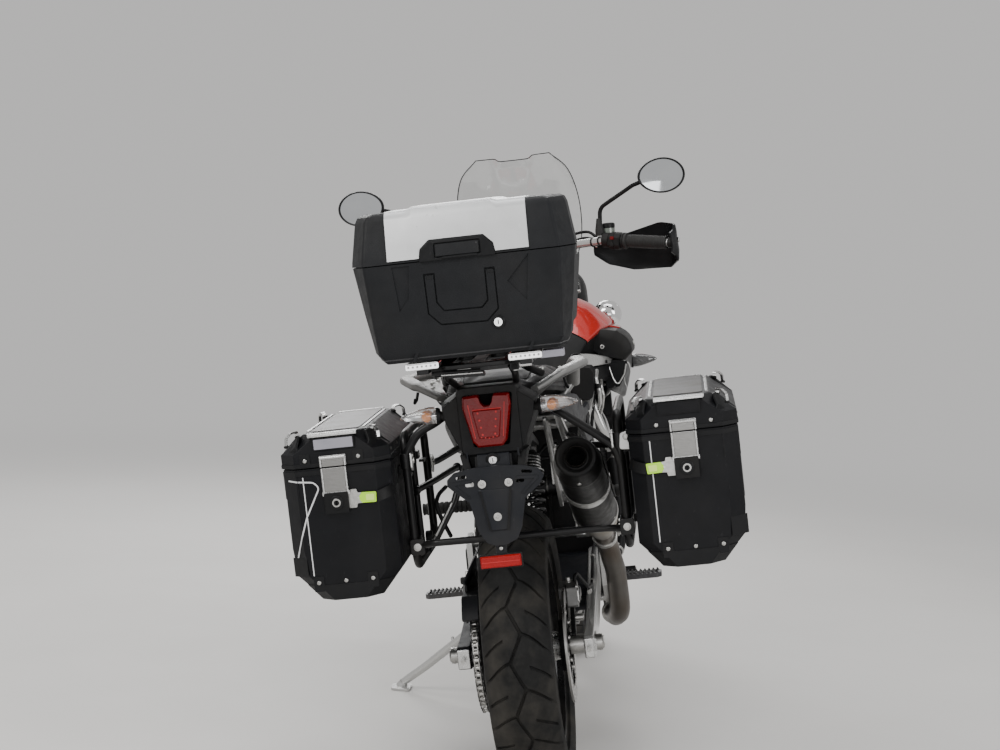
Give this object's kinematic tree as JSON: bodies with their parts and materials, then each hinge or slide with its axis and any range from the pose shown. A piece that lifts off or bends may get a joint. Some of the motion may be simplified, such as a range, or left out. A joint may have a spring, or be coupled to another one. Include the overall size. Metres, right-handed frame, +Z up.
{
  "type": "adventure motorcycle",
  "caption": "Motorcycle on its side stand with a top case and two side cases, with turning wheels, steering, stand and opening lids.",
  "frame": {"origin": "on the ground, at the centre of the whole object's outline seen from above", "axes": "+X forward, +Y left, +Z up; the motorcycle leans 10 degrees to the left on its side stand"},
  "size_m": [2.4199, 1.0726, 1.4264],
  "materials": {
    "tyre": "moulded rubber",
    "rim_metal": "anodised",
    "steel": "brushed",
    "chain_steel": "oiled",
    "cast_alloy": "cast, painted",
    "black_paint": "satin",
    "silver_paint": "satin",
    "red_paint": "gloss",
    "black_plastic": "textured",
    "grey_plastic": "satin",
    "seat_cover": "grained",
    "red_lens": "clear red",
    "clear_lens": "clear",
    "screen": "clear",
    "case_black": "powder coat",
    "header_steel": "heat tinted",
    "grip_rubber": "ribbed"
  },
  "bodies": {
    "root": {"swingarm": "silver_paint", "chain": "chain_steel", "chain_guard": "grey_plastic", "stand_bracket": "black_paint", "frame": "silver_paint", "subframe": "silver_paint", "engine": "cast_alloy", "sump_guard": "black_plastic", "radiator": "black_paint", "exhaust_headers": "header_steel", "silencer": "steel", "fuel_tank": "red_paint", "tank_shrouds": "black_plastic", "rider_seat": "seat_cover", "pillion_seat": "seat_cover", "side_panels": "grey_plastic", "tail_housing": "black_plastic", "tail_lamp": "red_lens", "plate_bracket": "black_plastic", "indicators": "clear_lens", "grab_rails": "silver_paint", "case_carrier": "black_paint", "top_case": "black_plastic", "left_pannier": "case_black", "right_pannier": "case_black", "pannier_rack": "black_paint", "front_cowl": "black_plastic", "headlamps": "clear_lens", "windscreen": "screen", "dashboard": "black_plastic", "rear_shock": "black_paint", "footrests": "silver_paint", "rear_caliper": "black_paint", "rear_axle": "steel"},
    "rear_wheel": {"rear_tyre": "tyre", "rear_rim": "rim_metal", "rear_hub": "cast_alloy", "rear_sprocket": "steel", "rear_brake_disc": "steel"},
    "front_wheel": {"front_tyre": "tyre", "front_rim": "rim_metal", "front_hub": "cast_alloy", "front_brake_discs": "steel"},
    "steering": {"fork_legs": "silver_paint", "yokes": "black_paint", "handlebar": "silver_paint", "hand_controls": "grip_rubber", "handguards": "black_plastic", "mirrors": "black_plastic", "front_mudguard": "black_plastic", "front_calipers": "black_paint", "front_axle": "steel"},
    "side_stand": {"side_stand": "silver_paint"},
    "top_case_lid": {"top_case_lid": "black_plastic"},
    "left_pannier_lid": {"left_pannier_lid": "case_black"},
    "right_pannier_lid": {"right_pannier_lid": "case_black"},
    "fuel_cap": {"fuel_cap": "silver_paint"}
  },
  "joints": [
    {"name": "rear_wheel_spin", "type": "hinge", "parent": "root", "child": "rear_wheel", "pos_m": [-0.702, -0.08906, 0.31749], "axis": [0, 0.9848, -0.1736], "continuous": true},
    {"name": "steering", "type": "hinge", "parent": "root", "child": "steering", "pos_m": [0.54528, 0.01843, 0.92709], "axis": [-0.3987, 0.1592, 0.9031], "range_deg": [-35, 35]},
    {"name": "front_wheel_spin", "type": "hinge", "parent": "steering", "child": "front_wheel", "pos_m": [0.863, -0.08465, 0.3425], "axis": [0, 0.9848, -0.1736], "continuous": true},
    {"name": "side_stand_fold", "type": "hinge", "parent": "root", "child": "side_stand", "pos_m": [0.058, 0.05143, 0.2389], "axis": [0.0869, 0.6974, 0.7114], "range_deg": [0, 99.5]},
    {"name": "top_case_lid_hinge", "type": "hinge", "parent": "root", "child": "top_case_lid", "pos_m": [-0.781, 0.06977, 1.19524], "axis": [0, 0.9848, -0.1736], "range_deg": [0, 70]},
    {"name": "left_pannier_lid_hinge", "type": "hinge", "parent": "root", "child": "left_pannier_lid", "pos_m": [-0.556, 0.30671, 0.74222], "axis": [0, 0.9848, -0.1736], "range_deg": [0, 90]},
    {"name": "right_pannier_lid_hinge", "type": "hinge", "parent": "root", "child": "right_pannier_lid", "pos_m": [-0.556, -0.37872, 0.86308], "axis": [0, 0.9848, -0.1736], "range_deg": [0, 90]},
    {"name": "fuel_cap_hinge", "type": "hinge", "parent": "root", "child": "fuel_cap", "pos_m": [0.216, 0.03614, 1.02754], "axis": [0, 0.9848, -0.1736], "range_deg": [0, 95]}
  ]
}
